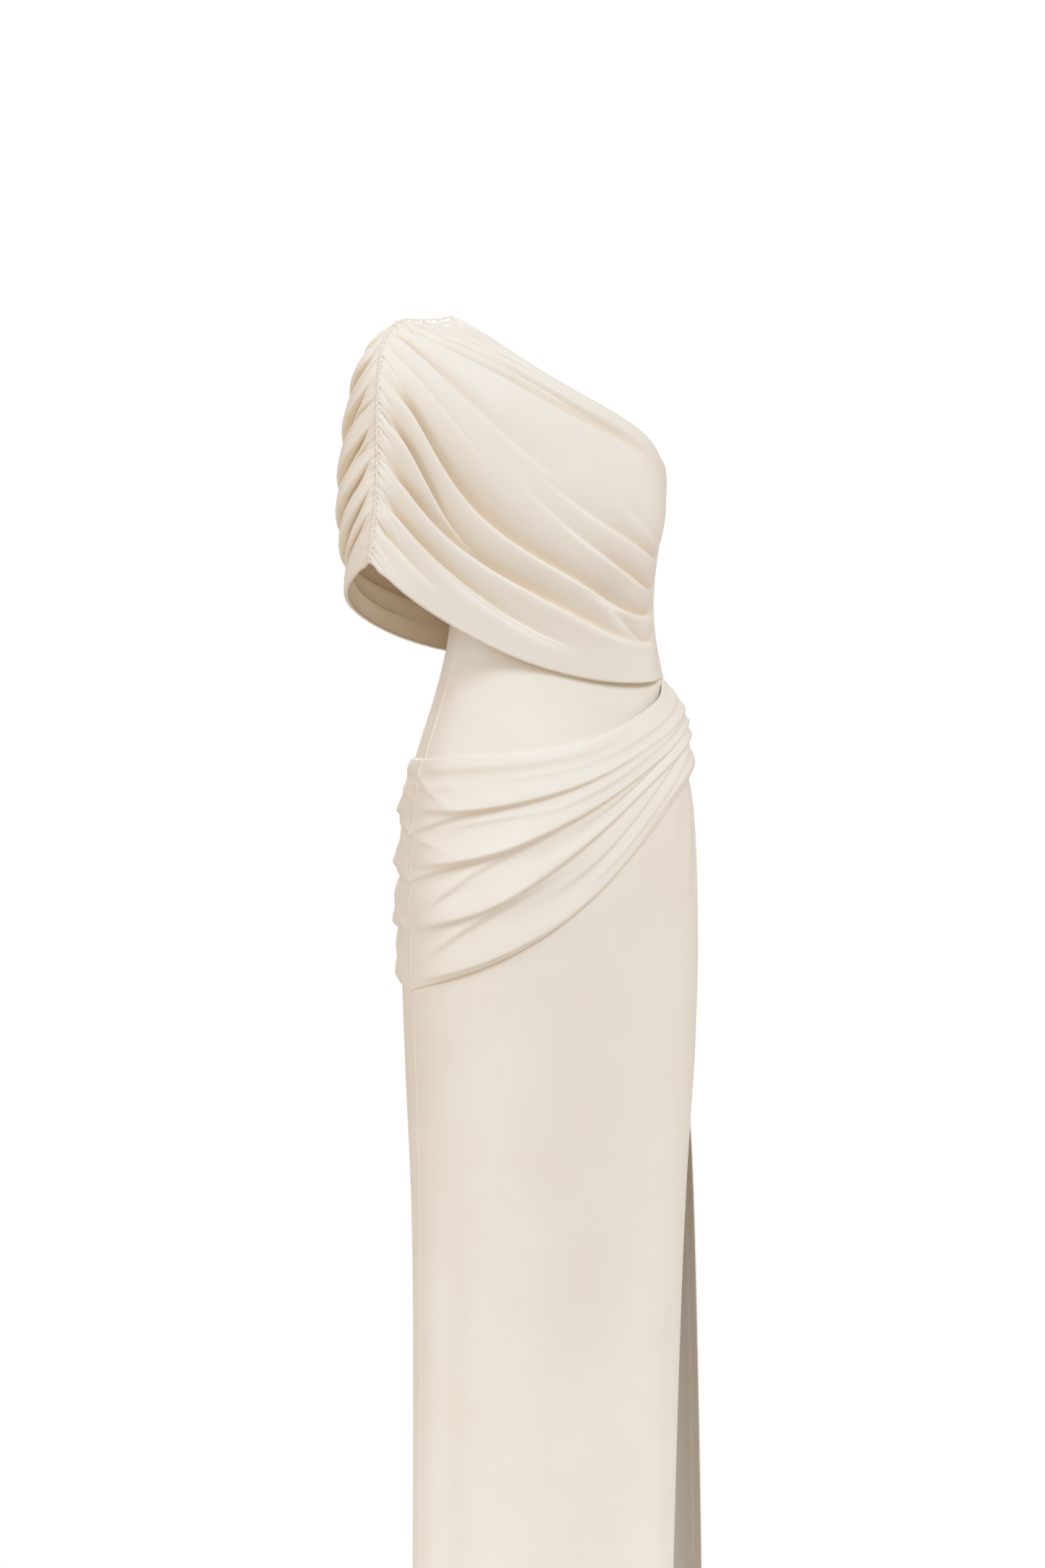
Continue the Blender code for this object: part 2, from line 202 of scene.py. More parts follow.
# %% [markdown]
# ## From a grid of points to a piece of cloth
#
# Every panel is a grid: rows run down the cloth, columns run along it. Blender's own grid gives the
# faces, each vertex moves to its point, and a Solidify modifier gives the cloth its thickness. The map
# that the knit follows is measured on the grid itself, in metres along its rows and columns.

# %% Cloth pieces
def cloth_piece(name, points, node=None):
    """A shell of jersey on a grid of points round the torso's axis, in place of a CAD node."""
    rows, columns = points.shape[:2]
    bm = bmesh.new()
    bmesh.ops.create_grid(bm, x_segments=columns - 1, y_segments=rows - 1, size=0.5)
    mesh = bpy.data.meshes.new(name)
    bm.to_mesh(mesh)
    bm.free()
    flat = np.empty(3 * len(mesh.vertices))
    mesh.vertices.foreach_get("co", flat)
    flat = flat.reshape(-1, 3)
    column = np.rint((flat[:, 0] + 0.5) * (columns - 1)).astype(int)
    row = np.rint((flat[:, 1] + 0.5) * (rows - 1)).astype(int)
    mesh.vertices.foreach_set("co", (points[row, column] - SHOULDER).ravel())
    lay_map(mesh, points, row, column)
    mesh.shade_smooth()
    mesh.materials.append(JERSEY)
    piece = bpy.data.objects.new(name, mesh)
    bpy.context.scene.collection.objects.link(piece)
    wall = piece.modifiers.new("thickness", "SOLIDIFY")
    wall.thickness = SHELL
    wall.offset = 0.0
    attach(piece, "root")
    if node:
        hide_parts(node)
    return piece


def lay_map(mesh, points, row, column):
    """A UV map in metres of cloth: u along the rows and v down the columns."""
    along = np.linalg.norm(np.diff(points, axis=1, prepend=points[:, :1]), axis=-1).cumsum(axis=1)
    down = np.linalg.norm(np.diff(points, axis=0, prepend=points[:1]), axis=-1).cumsum(axis=0)
    cloth = mesh.uv_layers.new(name="cloth")
    corner = np.empty(len(mesh.loops), dtype=np.int32)
    mesh.loops.foreach_get("vertex_index", corner)
    u = along.mean(axis=0)[column[corner]]
    v = down.mean(axis=1)[row[corner]]
    cloth.data.foreach_set("uv", np.stack([u, v], axis=-1).ravel())


def worn_area(points):
    """Area of the cloth in a grid of points, in square metres."""
    a, b = points[1:, 1:] - points[:-1, :-1], points[1:, :-1] - points[:-1, 1:]
    return float(0.5 * np.linalg.norm(np.cross(a, b), axis=-1).sum())


def closer_at_ends(count, pull):
    """Shares from 0 to 1 that are closer together near both ends."""
    even = np.linspace(0, 1, count + 1)
    return even - pull * np.sin(2 * math.pi * even)


# %% [markdown]
# ## The sheath
#
# The sheath is cut in a front and a back, sewn at both sides, with a slit at the wearer's left from
# mid thigh down. Its form is a stack of half ellipses, whose half width and depths come from a table
# of body measurements, with one curve through each column of the table.

# %% Form of the sheath
Section = namedtuple("Section", "height half_width front back")
SECTIONS = (
    Section(-0.100, 0.112, 0.080, 0.080),
    Section(-0.165, 0.124, 0.100, 0.090),
    Section(-0.200, 0.121, 0.099, 0.089),
    Section(-0.235, 0.116, 0.092, 0.087),
    Section(-0.310, 0.111, 0.085, 0.084),
    Section(-0.370, 0.122, 0.090, 0.091),
    Section(-0.415, 0.136, 0.097, 0.101),
    Section(-0.460, 0.151, 0.106, 0.110),
    Section(-0.550, 0.163, 0.114, 0.117),
    Section(-0.640, 0.166, 0.115, 0.117),
    Section(-0.730, 0.164, 0.113, 0.115),
    Section(-0.860, 0.159, 0.110, 0.111),
    Section(-1.070, 0.156, 0.108, 0.110),
    Section(-1.305, 0.157, 0.110, 0.112),
    Section(-1.500, 0.158, 0.112, 0.114),
)
FRONT = -1
BACK = 1
SEAM_GAP = 0.0002  # each panel stops this far short of a side seam


def gown_size(height):
    """Half width, front depth and back depth of the sheath at a height."""
    table = np.array(SECTIONS)[::-1]
    return np.moveaxis(smooth_through(table[:, 0], table[:, 1:], height), -1, 0)


def slit_swing(height, facing):
    """How far out the slit's edge has swung: the front one falls in evenly, the back one flares early."""
    below = np.clip((height - SLIT_TOP) / (GOWN_HEM - SLIT_TOP), 0.0, 1.0)
    if facing == FRONT:
        return -SLIT_FRONT_IN * below
    return SLIT_BACK_OUT * (1 + SLIT_EARLY) * below / (below + SLIT_EARLY)


def gown_points(across, height, facing, out=0.0):
    """Points of the sheath, moved out. Across is 0 at the right side seam and 1 at the left one."""
    half_width, front, back = gown_size(height)
    depth = front if facing == FRONT else back
    half_width = half_width + np.where(across > 0.5, slit_swing(height, facing), 0.0)
    angle = np.clip(math.pi * across, SEAM_GAP / depth, math.pi - SEAM_GAP / depth)
    x = -half_width * np.cos(angle)
    y = facing * depth * np.sin(angle)
    normal = np.stack([x / half_width**2, y / depth**2], axis=-1)
    normal /= np.linalg.norm(normal, axis=-1, keepdims=True)
    return np.stack([x + out * normal[..., 0], y + out * normal[..., 1], height], axis=-1)


# %% [markdown]
# ## Relief of the sheath
#
# Smooth jersey still shows how it was sewn and how it hangs. The side seams stand up as a thin ridge
# where the pressed allowances double the cloth. The slit and the hem have a narrow turned-up band whose
# upper edge shows as a faint line. Long soft troughs fall from the hips. Each is a small height added
# along the surface's normal, so a table is enough: where the trough runs at its top and at its bottom,
# how deep and how wide it is. The back has similar ones.

# %% Relief of the sheath
Trough = namedtuple("Trough", "across_top across_bottom top bottom depth half_width")
FRONT_TROUGHS = (
    Trough(0.13, 0.10, -0.82, -1.60, 0.0040, 0.022),
    Trough(0.44, 0.38, -0.95, -1.60, 0.0016, 0.030),
    Trough(0.72, 0.80, -0.90, -1.60, 0.0020, 0.024),
    Trough(0.86, 0.79, -0.47, -0.62, 0.0016, 0.008),
    Trough(0.91, 0.86, -0.48, -0.66, 0.0014, 0.007),
    Trough(0.79, 0.69, -0.48, -0.60, 0.0010, 0.010),
)
BACK_TROUGHS = (
    Trough(0.14, 0.11, -0.78, -1.60, 0.0036, 0.024),
    Trough(0.38, 0.33, -0.84, -1.60, 0.0028, 0.030),
    Trough(0.61, 0.68, -0.90, -1.60, 0.0034, 0.026),
    Trough(0.86, 0.84, -0.80, -1.60, 0.0030, 0.020),
    Trough(0.20, 0.28, -0.50, -0.66, 0.0014, 0.012),
    Trough(0.80, 0.72, -0.48, -0.64, 0.0014, 0.012),
)
RIDGE_HEIGHT = 0.0011
RIDGE_WIDTH = 0.0016  # how far the doubled allowance shows beside a side seam
TURNED = 0.016  # width of the band turned up at the slit and the hem
TURNED_STEP = 0.0004


def gown_relief(across, height, facing):
    """How far the sheath's surface stands out from its plain form."""
    half_width, front, back = gown_size(height)
    depth = front if facing == FRONT else back
    reach = math.pi * 0.5 * (half_width + depth)
    from_right = across * reach
    from_left = (1 - across) * reach
    on_slit = ease(-height, -SLIT_TOP, -SLIT_TOP + 0.02)
    relief = RIDGE_HEIGHT * np.exp(-((from_right / RIDGE_WIDTH) ** 2))
    relief += (1 - on_slit) * RIDGE_HEIGHT * np.exp(-((from_left / RIDGE_WIDTH) ** 2))
    relief += on_slit * TURNED_STEP * (1 - ease(from_left, TURNED - 0.001, TURNED + 0.001))
    relief += TURNED_STEP * (1 - ease(height, GOWN_HEM + TURNED, GOWN_HEM + TURNED + 0.004))
    for trough in FRONT_TROUGHS if facing == FRONT else BACK_TROUGHS:
        share = np.clip((height - trough.top) / (trough.bottom - trough.top), 0.0, 1.0)
        centre = trough.across_top + (trough.across_bottom - trough.across_top) * share
        off = (across - centre) * reach / trough.half_width
        swell = ease(-height, -trough.top, -trough.top + 0.25 * (trough.top - trough.bottom))
        swell = swell * (1 - ease(-height, -trough.bottom - 0.03, -trough.bottom))
        relief -= trough.depth * swell * (1 - 0.5 * off**2) * np.exp(-0.5 * off**2)
    return relief


# %% Panels of the sheath
GOWN_ROWS = 240
GOWN_COLUMNS = 108
GOWN_PULL = 0.125


def gown_panel(name, facing):
    """Front or back of the sheath."""
    heights = GOWN_TOP + (GOWN_HEM - GOWN_TOP) * np.linspace(0, 1, GOWN_ROWS + 1)
    height, across = np.meshgrid(heights, closer_at_ends(GOWN_COLUMNS, GOWN_PULL), indexing="ij")
    points = gown_points(across, height, facing, gown_relief(across, height, facing))
    print(name, "worn area", round(worn_area(points), 3), "square metres")
    return cloth_piece(name + "_cloth", points, name)


gown_front = gown_panel("gown_front", FRONT)
gown_back = gown_panel("gown_back", BACK)

# %% [markdown]
# ## Soft edges
#
# The free edges of the overlay and of the hip drape aren't cut edges. The cloth is folded under and
# left unpressed, so the edge is a soft roll. A roll is easy to add to any grid: take the last row, and
# turn on from it round a small circle, inward. It then follows every fold that reaches the edge.

# %% Rolled edges
def outward(points, facing):
    """Unit normals of a grid of points."""
    down, along = np.gradient(points, axis=(0, 1))
    normal = np.cross(along, down) * facing
    return normal / np.linalg.norm(normal, axis=-1, keepdims=True)


def softened(row, passes):
    """A row of vectors, each averaged with its neighbours."""
    for _ in range(passes):
        row = np.concatenate([row[:1], (row[:-2] + 2 * row[1:-1] + row[2:]) / 4, row[-1:]])
    return row / np.linalg.norm(row, axis=-1, keepdims=True)


ROLL_TURN = 2.6  # radians that a rolled edge turns through
ROLL_STEPS = 7


def rolled_under(points, facing, radius, steps=ROLL_STEPS):
    """The grid with rows added before its first one, which roll inward round a circle."""
    onward = softened(points[0] - points[2], 3)
    out = softened(outward(points, facing)[0], 3)
    rows = []
    for angle in np.linspace(ROLL_TURN, 0, steps + 1)[:-1]:
        rows.append(points[0] + radius * (math.sin(angle) * onward - (1 - math.cos(angle)) * out))
    return np.concatenate([np.array(rows), points])


def rolled_hem(points, facing, radius):
    """The grid with its last row rolled inward."""
    return rolled_under(points[::-1], -facing, radius)[::-1]


# %% [markdown]
# ## The hip drape
#
# This panel is gathered at the wearer's left side seam and pulled across the hips, so its folds fan out
# from there. A jersey fold under tension is a round ridge that drops off sharply on its lower side,
# where it overhangs a little. Cloth simulation would find such folds only after long tuning, so each
# ridge is a row of a table instead: how far down the panel it runs at five places across, where it
# starts and ends, its height, and its half width above and below the crest. A negative height is a
# valley. Short rows make the forks and crumples near the right side seam.

# %% Edges and ridges of the hip drape
Edge = namedtuple("Edge", "across top bottom")
HIP_EDGES = (
    Edge(0.00, -0.460, -0.695),
    Edge(0.20, -0.457, -0.676),
    Edge(0.36, -0.451, -0.640),
    Edge(0.48, -0.438, -0.593),
    Edge(0.59, -0.418, -0.539),
    Edge(0.70, -0.398, -0.495),
    Edge(0.85, -0.373, -0.468),
    Edge(1.00, -0.364, -0.464),
)
RIDGE_AT = (0.0, 0.25, 0.5, 0.75, 1.0)
Ridge = namedtuple("Ridge", "right near_right middle near_left left start end height above below")
HIP_RIDGES = (
    Ridge(0.034, 0.034, 0.034, 0.036, 0.040, 0.02, 0.80, 0.0032, 0.009, 0.008),
    Ridge(0.110, 0.110, 0.115, 0.110, 0.100, 0.26, 0.84, 0.0012, 0.009, 0.004),
    Ridge(0.205, 0.225, 0.215, 0.235, 0.280, 0.06, 1.5, 0.0066, 0.020, 0.0048),
    Ridge(0.450, 0.445, 0.390, 0.405, 0.415, 0.06, 1.5, 0.0074, 0.020, 0.0052),
    Ridge(0.720, 0.705, 0.570, 0.545, 0.560, 0.06, 1.5, 0.0078, 0.022, 0.0056),
    Ridge(0.970, 0.970, 0.965, 0.955, 0.945, 0.06, 1.5, 0.0054, 0.020, 0.0060),
    Ridge(0.310, 0.235, 0.230, 0.230, 0.230, -0.2, 0.24, 0.0038, 0.009, 0.0045),
    Ridge(0.350, 0.300, 0.330, 0.330, 0.330, 0.12, 0.36, 0.0016, 0.007, 0.0035),
    Ridge(0.520, 0.465, 0.440, 0.440, 0.440, -0.2, 0.30, 0.0036, 0.009, 0.0040),
    Ridge(0.760, 0.500, 0.430, 0.430, 0.430, 0.04, 0.34, 0.0028, 0.008, 0.0045),
    Ridge(0.960, 0.745, 0.690, 0.690, 0.690, 0.08, 0.36, 0.0036, 0.010, 0.0050),
    Ridge(0.060, 0.330, 0.600, 0.900, 0.900, -0.1, 0.12, 0.0015, 0.006, 0.0040),
    Ridge(0.180, 0.060, 0.000, 0.000, 0.000, -0.1, 0.13, 0.0014, 0.006, 0.0040),
    Ridge(0.320, 0.480, 0.640, 0.800, 0.800, -0.1, 0.12, 0.0016, 0.006, 0.0040),
    Ridge(0.380, 0.300, 0.220, 0.200, 0.200, -0.1, 0.11, 0.0014, 0.005, 0.0035),
    Ridge(0.110, 0.140, 0.180, 0.200, 0.200, -0.1, 0.17, 0.0013, 0.006, 0.0040),
    Ridge(0.600, 0.540, 0.480, 0.440, 0.440, -0.1, 0.14, 0.0014, 0.006, 0.0040),
    Ridge(0.640, 0.560, 0.500, 0.500, 0.500, -0.1, 0.20, 0.0018, 0.009, 0.0060),
    Ridge(0.340, 0.340, 0.300, 0.305, 0.325, 0.42, 1.5, 0.0036, 0.008, 0.0040),
    Ridge(0.140, 0.140, 0.130, 0.120, 0.135, 0.55, 1.5, 0.0028, 0.008, 0.0045),
    Ridge(0.500, 0.500, 0.475, 0.440, 0.465, 0.50, 1.5, 0.0034, 0.007, 0.0035),
    Ridge(0.600, 0.600, 0.515, 0.455, 0.430, 0.40, 0.86, -0.0036, 0.010, 0.0050),
    Ridge(0.800, 0.800, 0.745, 0.600, 0.620, 0.42, 1.5, 0.0050, 0.012, 0.0050),
    Ridge(0.880, 0.880, 0.870, 0.735, 0.700, 0.50, 1.5, 0.0046, 0.010, 0.0045),
    Ridge(0.960, 0.960, 0.940, 0.840, 0.785, 0.60, 1.5, 0.0036, 0.009, 0.0045),
    Ridge(0.900, 0.900, 0.900, 0.900, 0.860, 0.72, 1.5, 0.0030, 0.007, 0.0040),
)

# %% Form of the hip drape
HIP_COLUMNS = 150
HIP_FRONT_ROWS = 190
HIP_BACK_ROWS = 150
HIP_PULL = 0.09
LEAN = 0.40  # how far a ridge leans down over what lies below it, as a share of its height
FADE = 0.10  # share of the panel over which a ridge grows or ends
DRAPE_ROLL = 0.0016  # radius of its rolled edges
RIDGE_ROUND = 1.8  # 2 gives a ridge the round top of a bell curve, and less a sharper one
VALLEY_FLOOR = -0.0006  # the drape never sinks further than this
PANEL_WIDTH = 0.4  # about, from side seam to side seam
FLAT_FROM = 0.70  # toward the left side seam the top edge is pulled flat on the sheath
FLAT_TO = 0.90
FLAT_DOWN_TO = 0.16


def hip_height(share, across, length):
    """How far the drape stands out at each point."""
    raised = np.zeros_like(across)
    for ridge in HIP_RIDGES:
        centre = smooth_through(RIDGE_AT, ridge[:5], across)
        off = (share - centre) * length
        off = off / np.where(off < 0, ridge.above, ridge.below)
        grown = ease(across, ridge.start - FADE, ridge.start + FADE)
        grown = grown * (1 - ease(across, ridge.end - FADE, ridge.end + FADE))
        raised += ridge.height * grown * np.exp(-np.abs(off) ** RIDGE_ROUND)
    side_seam = RIDGE_HEIGHT * np.exp(-((across * PANEL_WIDTH / RIDGE_WIDTH) ** 2))
    pulled_flat = ease(across, FLAT_FROM, FLAT_TO) * (1 - ease(share, 0.0, FLAT_DOWN_TO))
    return np.maximum(raised, VALLEY_FLOOR) * (1 - pulled_flat) + side_seam


def hip_drape(name, facing, rows):
    """Front or back of the draped panel, on the sheath's own form."""
    share, across = np.meshgrid(
        np.linspace(0, 1, rows + 1), closer_at_ends(HIP_COLUMNS, HIP_PULL), indexing="ij"
    )
    edges = np.array(HIP_EDGES)
    top, bottom = np.moveaxis(smooth_through(edges[:, 0], edges[:, 1:], across), -1, 0)
    raised = hip_height(share, across, top - bottom)
    inner = ease(share, 0.0, 0.04) * (1 - ease(share, 0.96, 1.0))
    height = top + (bottom - top) * share - LEAN * raised * inner
    points = gown_points(across, height, facing, HIP_LIFT + raised)
    points = rolled_hem(rolled_under(points, facing, DRAPE_ROLL), facing, DRAPE_ROLL)
    print(name, "worn area", round(worn_area(points), 3), "square metres")
    return cloth_piece(name + "_cloth", points, name)


hip_front = hip_drape("hip_drape_front", FRONT, HIP_FRONT_ROWS)
hip_back = hip_drape("hip_drape_back", BACK, HIP_BACK_ROWS)

# %% [markdown]
# ## The overlay's form
#
# The overlay is one wide piece over the chest and one over the back. They meet in a ruched seam that
# runs over the shoulder and down the outside of the upper arm, and in the side seam under the other
# arm. Its form without folds is a net of lines from the ruched seam to the side seam. The first line is
# the neckline and the last one the hem, and each has seven points at the same shares of its length.

# %% Form of the overlay
ALONG = (0.0, 0.11, 0.24, 0.45, 0.68, 0.84, 1.0)
Line = namedtuple("Line", "down seam arm chest middle left flank side")
FRONT_LINES = (
    Line(0.00, (-0.106, 0.015, 0.003), (-0.094, -0.020, -0.015), (-0.079, -0.055, -0.038),
         (-0.016, -0.085, -0.079), (0.060, -0.088, -0.117), (0.100, -0.055, -0.143), (0.127, 0.000, -0.162)),
    Line(0.12, (-0.148, 0.008, -0.003), (-0.130, -0.026, -0.019), (-0.095, -0.064, -0.051),
         (-0.019, -0.097, -0.106), (0.059, -0.099, -0.149), (0.102, -0.061, -0.172), (0.127, 0.000, -0.186)),
    Line(0.25, (-0.187, -0.003, -0.008), (-0.163, -0.035, -0.028), (-0.115, -0.070, -0.070),
         (-0.030, -0.105, -0.140), (0.055, -0.108, -0.185), (0.100, -0.065, -0.203), (0.125, 0.000, -0.212)),
    Line(0.45, (-0.221, -0.028, -0.063), (-0.193, -0.050, -0.088), (-0.149, -0.070, -0.130),
         (-0.060, -0.103, -0.205), (0.040, -0.111, -0.245), (0.089, -0.066, -0.252), (0.118, 0.000, -0.254)),
    Line(0.65, (-0.226, -0.034, -0.133), (-0.199, -0.051, -0.160), (-0.154, -0.066, -0.205),
         (-0.065, -0.095, -0.262), (0.033, -0.102, -0.295), (0.087, -0.062, -0.298), (0.113, 0.000, -0.296)),
    Line(0.83, (-0.229, -0.036, -0.196), (-0.200, -0.050, -0.225), (-0.156, -0.062, -0.264),
         (-0.070, -0.086, -0.314), (0.028, -0.098, -0.339), (0.087, -0.064, -0.338), (0.115, 0.000, -0.333)),
    Line(1.00, (-0.237, -0.036, -0.256), (-0.204, -0.049, -0.288), (-0.157, -0.058, -0.319),
         (-0.075, -0.081, -0.359), (0.022, -0.097, -0.379), (0.088, -0.070, -0.376), (0.121, 0.000, -0.366)),
)
BACK_LINES = (
    Line(0.00, (-0.106, 0.015, 0.003), (-0.098, 0.045, -0.007), (-0.085, 0.070, -0.030),
         (-0.020, 0.095, -0.085), (0.050, 0.095, -0.125), (0.100, 0.060, -0.148), (0.127, 0.000, -0.162)),
    Line(0.12, (-0.148, 0.008, -0.003), (-0.149, 0.033, -0.014), (-0.135, 0.062, -0.034),
         (-0.073, 0.094, -0.080), (0.015, 0.104, -0.132), (0.089, 0.072, -0.166), (0.127, 0.000, -0.186)),
    Line(0.25, (-0.187, -0.003, -0.008), (-0.194, 0.020, -0.022), (-0.178, 0.055, -0.045),
         (-0.115, 0.095, -0.090), (-0.010, 0.112, -0.150), (0.080, 0.080, -0.190), (0.125, 0.000, -0.212)),
    Line(0.45, (-0.221, -0.028, -0.063), (-0.230, 0.008, -0.070), (-0.208, 0.053, -0.095),
         (-0.135, 0.100, -0.150), (-0.015, 0.115, -0.205), (0.075, 0.080, -0.238), (0.118, 0.000, -0.254)),
    Line(0.65, (-0.226, -0.034, -0.133), (-0.241, 0.010, -0.145), (-0.217, 0.056, -0.170),
         (-0.140, 0.098, -0.215), (-0.018, 0.108, -0.260), (0.070, 0.076, -0.285), (0.113, 0.000, -0.296)),
    Line(0.83, (-0.229, -0.036, -0.196), (-0.245, 0.008, -0.210), (-0.219, 0.052, -0.235),
         (-0.142, 0.092, -0.272), (-0.020, 0.102, -0.310), (0.070, 0.074, -0.328), (0.115, 0.000, -0.333)),
    Line(1.00, (-0.237, -0.036, -0.256), (-0.235, 0.018, -0.285), (-0.197, 0.060, -0.310),
         (-0.115, 0.086, -0.337), (-0.020, 0.098, -0.350), (0.070, 0.076, -0.361), (0.121, 0.000, -0.366)),
)
LENGTH_AT_SEAM = 0.355  # of the overlay down its ruched seam, and down its left side seam
LENGTH_AT_SIDE = 0.205
ROW_FALL = 0.12  # share of the way down that the rows of cloth fall from the ruched seam to the chest
ROW_FALL_ENDS = 0.3  # share of the way along at which they have fallen
OFF_GOWN_FROM = 0.120  # the overlay starts to be held off the sheath this far below the shoulder
OFF_GOWN_BELOW = 0.155
SOFT_TOUCH = 0.006  # how gradually it comes to lie on the sheath, as a share of the distance to the axis


def overlay_form(lines, stations, down):
    """The overlay's smooth form: a column of points for each station along it."""
    lengthwise = np.stack([smooth_through(ALONG, line[1:], stations) for line in lines])
    heights = [line.down for line in lines]
    columns = [smooth_through(heights, lengthwise[:, i], down[:, i]) for i in range(len(stations))]
    return np.stack(columns, axis=1)


def clear_of_gown(points, lift):
    """The points, those too near the sheath moved out from its axis to lie that far over it."""
    half_width, front, back = gown_size(np.clip(points[..., 2], GOWN_HEM, SECTIONS[0].height))
    depth = np.where(points[..., 1] < 0, front, back)
    share = np.hypot(points[..., 0] / (half_width + lift), points[..., 1] / (depth + lift))
    outer = 0.5 * (share + 1 + np.sqrt((share - 1) ** 2 + SOFT_TOUCH**2))
    beside_gown = ease(-points[..., 2], OFF_GOWN_FROM, OFF_GOWN_BELOW)
    moved = points.copy()
    moved[..., :2] *= (1 + beside_gown * (outer / share - 1))[..., None]
    return moved


# %% [markdown]
# ## Folds of the overlay
#
# The folds hang from the ruched seam like hammocks. Seen across a fold, the cloth above it turns under
# slowly, which is the wide band of shade, then meets the next pouch in a sharp line, and the pouch
# comes out again steeply. So a fold is a valley with a wide half on one side of its line and a narrow
# half on the other, and the lip of the narrow half leans over the valley. On the front that is the
# lower lip, and on the back it is the upper one, so that each swag hangs over the next. The tables
# hold the line of each valley at six places along the overlay, as shares of the way down, then where
# it starts, is deepest and ends, its depth and its two half widths in metres. A negative depth is a
# ridge.

# %% Fold tables
FOLD_AT = (0.0, 0.12, 0.25, 0.5, 0.75, 1.0)
Fold = namedtuple("Fold", "seam arm chest middle left side start deepest end depth above below")
FRONT_FOLDS = (
    Fold(0.440, 0.505, 0.590, 0.640, 0.705, 0.725, 0.00, 0.13, 1.02, 0.0170, 0.0170, 0.0050),
    Fold(0.550, 0.620, 0.700, 0.740, 0.760, 0.780, 0.00, 0.10, 0.34, 0.0180, 0.0180, 0.0048),
    Fold(0.685, 0.738, 0.755, 0.765, 0.825, 0.845, 0.00, 0.12, 1.02, 0.0180, 0.0180, 0.0050),
    Fold(0.805, 0.838, 0.848, 0.880, 0.900, 0.920, 0.00, 0.09, 0.62, 0.0140, 0.0150, 0.0048),
    Fold(0.885, 0.910, 0.925, 0.940, 0.950, 0.960, 0.00, 0.06, 0.24, 0.0055, 0.0080, 0.0050),
    Fold(0.265, 0.232, 0.187, 0.115, 0.090, 0.075, 0.00, 0.26, 1.02, 0.0110, 0.0140, 0.0042),
    Fold(0.185, 0.115, 0.040, 0.030, 0.030, 0.030, 0.00, 0.08, 0.34, 0.0056, 0.0080, 0.0040),
    Fold(0.120, 0.100, 0.085, 0.055, 0.045, 0.040, 0.10, 0.50, 1.02, -0.0030, 0.0090, 0.0080),
    Fold(0.225, 0.170, 0.115, 0.075, 0.060, 0.050, 0.00, 0.16, 0.62, 0.0040, 0.0070, 0.0032),
    Fold(0.090, 0.050, 0.020, 0.020, 0.020, 0.020, 0.00, 0.06, 0.22, 0.0030, 0.0060, 0.0032),
    Fold(0.345, 0.385, 0.430, 0.450, 0.450, 0.450, 0.00, 0.07, 0.36, 0.0036, 0.0070, 0.0034),
    Fold(0.240, 0.222, 0.200, 0.200, 0.200, 0.200, 0.00, 0.04, 0.20, 0.0036, 0.0060, 0.0030),
    Fold(0.295, 0.325, 0.345, 0.345, 0.345, 0.345, 0.00, 0.05, 0.50, 0.0080, 0.0100, 0.0034),
    Fold(0.380, 0.375, 0.365, 0.385, 0.440, 0.455, 0.34, 0.74, 1.14, 0.0072, 0.0110, 0.0034),
    Fold(0.420, 0.410, 0.400, 0.465, 0.575, 0.610, 0.32, 0.74, 1.14, 0.0078, 0.0120, 0.0034),
    Fold(0.640, 0.640, 0.640, 0.680, 0.712, 0.716, 0.50, 0.86, 1.10, 0.0074, 0.0110, 0.0032),
    Fold(0.660, 0.660, 0.660, 0.640, 0.800, 0.940, 0.54, 0.66, 0.82, 0.0046, 0.0080, 0.0036),
    Fold(0.800, 0.800, 0.800, 0.790, 0.838, 0.842, 0.52, 0.86, 1.10, 0.0066, 0.0100, 0.0032),
    Fold(0.300, 0.300, 0.300, 0.285, 0.365, 0.400, 0.54, 0.68, 0.86, 0.0018, 0.0080, 0.0060),
    Fold(0.400, 0.440, 0.520, 0.570, 0.600, 0.620, 0.10, 0.30, 0.60, 0.0040, 0.0200, 0.0200),
    Fold(0.860, 0.865, 0.875, 0.905, 0.930, 0.940, 0.10, 0.30, 0.64, 0.0030, 0.0080, 0.0050),
)
